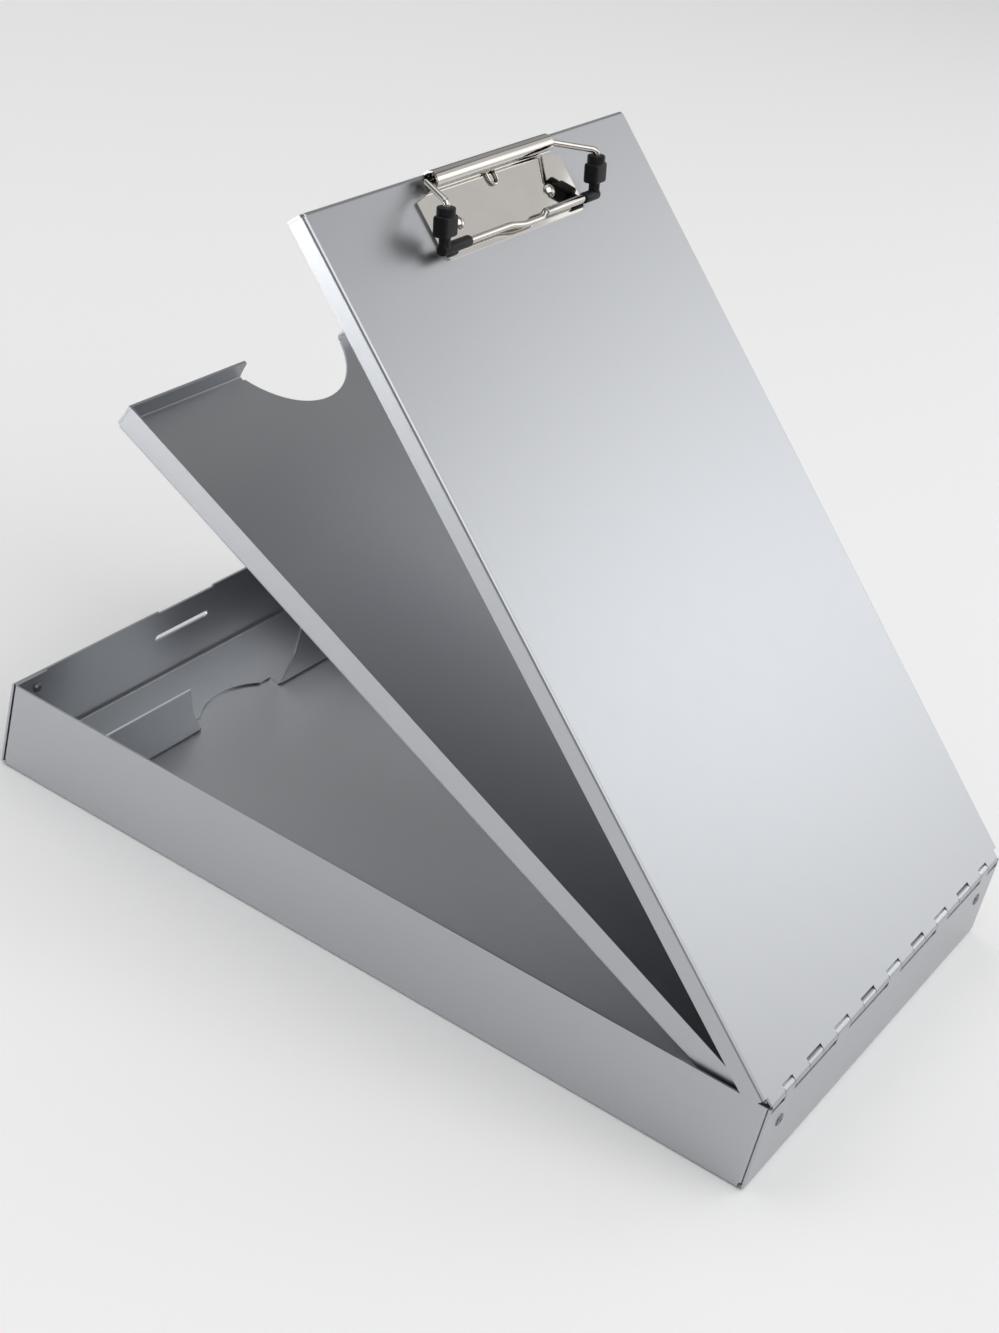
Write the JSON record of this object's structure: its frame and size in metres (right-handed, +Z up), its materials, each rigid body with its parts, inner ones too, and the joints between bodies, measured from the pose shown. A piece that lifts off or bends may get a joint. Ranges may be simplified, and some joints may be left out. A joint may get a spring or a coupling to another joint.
{
  "type": "storage clipboard box",
  "caption": "Flat folded-metal box for papers with a hinged middle tray, a hinged writing lid with a sprung wire paper clip, a pencil divider and a push latch.",
  "frame": {"origin": "middle of the flat underside of the box, on the surface it lies on", "axes": "+Z up; the hinge pin runs along X at the -Y end; the open end with latch and clip is at +Y; -X is the side wall nearest to the camera"},
  "size_m": [0.2382, 0.3626, 0.2901],
  "materials": {
    "box_sheet": "satin, drawn sheet",
    "tray_sheet": "satin, drawn sheet",
    "lid_sheet": "satin, fine grain",
    "divider_sheet": "satin, drawn sheet",
    "rivet_metal": "dull",
    "pin_steel": "drawn wire",
    "latch_steel": "satin spring steel",
    "clip_plating": "bright nickel plating",
    "bail_plating": "bright nickel plating",
    "clip_rivet_metal": "bright nickel plating",
    "spring_steel": "bright spring wire",
    "grip_plastic": "moulded, slightly glossy"
  },
  "bodies": {
    "box": {"bottom_box": "box_sheet", "hinge_rivet_left": "rivet_metal", "hinge_rivet_right": "rivet_metal", "open_rivet_left": "rivet_metal", "open_rivet_right": "rivet_metal", "pencil_divider": "divider_sheet", "hinge_pin": "pin_steel"},
    "tray": {"middle_tray": "tray_sheet"},
    "lid": {"lid_panel": "lid_sheet", "latch_base": "latch_steel", "clip_plate": "clip_plating", "clip_rivet_left": "clip_rivet_metal", "clip_rivet_right": "clip_rivet_metal", "clip_spring": "spring_steel"},
    "latch": {"latch_tongue": "latch_steel"},
    "bail": {"bail_left_wire": "bail_plating", "bail_right_wire": "bail_plating", "bail_sleeve": "bail_plating", "left_grip": "grip_plastic", "right_grip": "grip_plastic"}
  },
  "joints": [
    {"name": "tray_hinge", "type": "hinge", "parent": "box", "child": "tray", "pos_m": [0, -0.17845, 0.0391], "axis": [1, 0, 0], "range_deg": [-23.8, 55.9]},
    {"name": "lid_hinge", "type": "hinge", "parent": "tray", "child": "lid", "pos_m": [0, -0.17845, 0.0391], "axis": [1, 0, 0], "range_deg": [-19, 81.3]},
    {"name": "clip_hinge", "type": "hinge", "parent": "lid", "child": "bail", "pos_m": [0, 0.07949, 0.28627], "axis": [-1, 0, 0], "range_deg": [0, 80], "stiffness_Nm_per_rad": 0.25, "springref_deg": -68.75},
    {"name": "latch_flex", "type": "hinge", "parent": "lid", "child": "latch", "pos_m": [0, 0.08351, 0.28208], "axis": [-1, 0, 0], "range_deg": [0, 8], "stiffness_Nm_per_rad": 0.5}
  ]
}
